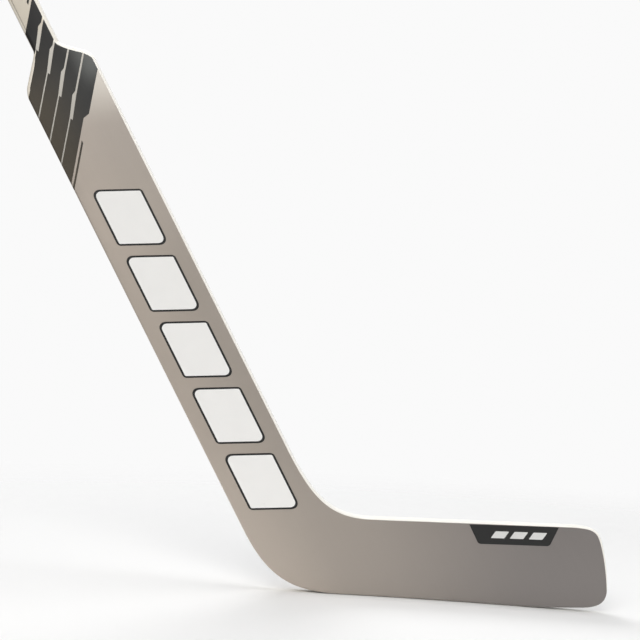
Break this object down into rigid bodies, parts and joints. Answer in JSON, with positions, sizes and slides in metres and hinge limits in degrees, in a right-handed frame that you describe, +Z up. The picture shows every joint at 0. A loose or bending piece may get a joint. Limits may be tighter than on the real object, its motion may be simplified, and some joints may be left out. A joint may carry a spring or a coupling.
{
  "type": "goaltender hockey stick",
  "caption": "Goaltender's ice hockey stick with a narrow straight shaft, a wide flat paddle and a curved blade with rounded heel and toe.",
  "frame": {"origin": "on the underside of the blade, midway along the flat part of the sole, in the mid plane of the shaft and paddle", "axes": "+X along the blade towards the toe, +Z up with the sole flat on the ice, -Y out of the forehand face"},
  "size_m": [1.0917, 0.0503, 1.3301],
  "materials": {
    "silver_paint": "satin warm silver-grey paint over laminate, fine metallic flake",
    "white_edging": "glossy off-white moulded strip with softened corners",
    "shaft_tube_white": "glossy cream-white lacquer over composite",
    "charcoal_paint": "satin dark charcoal print with a slight sheen",
    "black_print": "satin black print",
    "white_print": "smooth white print under clear lacquer",
    "core_wood": "plain laminated hardwood",
    "core_foam": "rigid closed-cell foam",
    "carbon_rib": "bare carbon laminate",
    "plug_rubber": "matte black moulded rubber"
  },
  "bodies": {
    "root": {"edging_paddle_heel_side": "white_edging", "edging_paddle_toe_side": "white_edging", "edging_elbow": "white_edging", "edging_blade_top": "white_edging", "edging_toe": "white_edging", "edging_sole": "white_edging", "edging_heel": "white_edging", "shaft_tongue": "core_wood", "paddle_core_heel_side": "core_foam", "paddle_core_toe_side": "core_foam", "heel_block": "core_wood", "blade_core_lower": "core_foam", "blade_rib": "carbon_rib", "blade_core_upper": "core_foam", "front_facing": "silver_paint", "back_facing": "silver_paint", "shaft_tube": "shaft_tube_white", "butt_plug": "plug_rubber", "shaft_front_facing": "silver_paint", "shaft_back_facing": "silver_paint", "front_band_1": "charcoal_paint", "back_band_1": "charcoal_paint", "front_band_2": "charcoal_paint", "back_band_2": "charcoal_paint", "front_band_3": "charcoal_paint", "back_band_3": "charcoal_paint", "front_band_4": "charcoal_paint", "back_band_4": "charcoal_paint", "front_band_5": "charcoal_paint", "back_band_5": "charcoal_paint", "front_stripe_lower": "charcoal_paint", "front_stripe_upper": "charcoal_paint", "front_block_1": "white_print", "front_border_1": "black_print", "back_block_1": "white_print", "front_block_2": "white_print", "front_border_2": "black_print", "back_block_2": "white_print", "front_block_3": "white_print", "front_border_3": "black_print", "back_block_3": "white_print", "front_block_4": "white_print", "front_border_4": "black_print", "back_block_4": "white_print", "front_block_5": "white_print", "front_border_5": "black_print", "back_block_5": "white_print", "label_bar_1": "white_print", "label_bar_2": "white_print", "label_bar_3": "white_print", "label_plate": "black_print"}
  },
  "joints": []
}
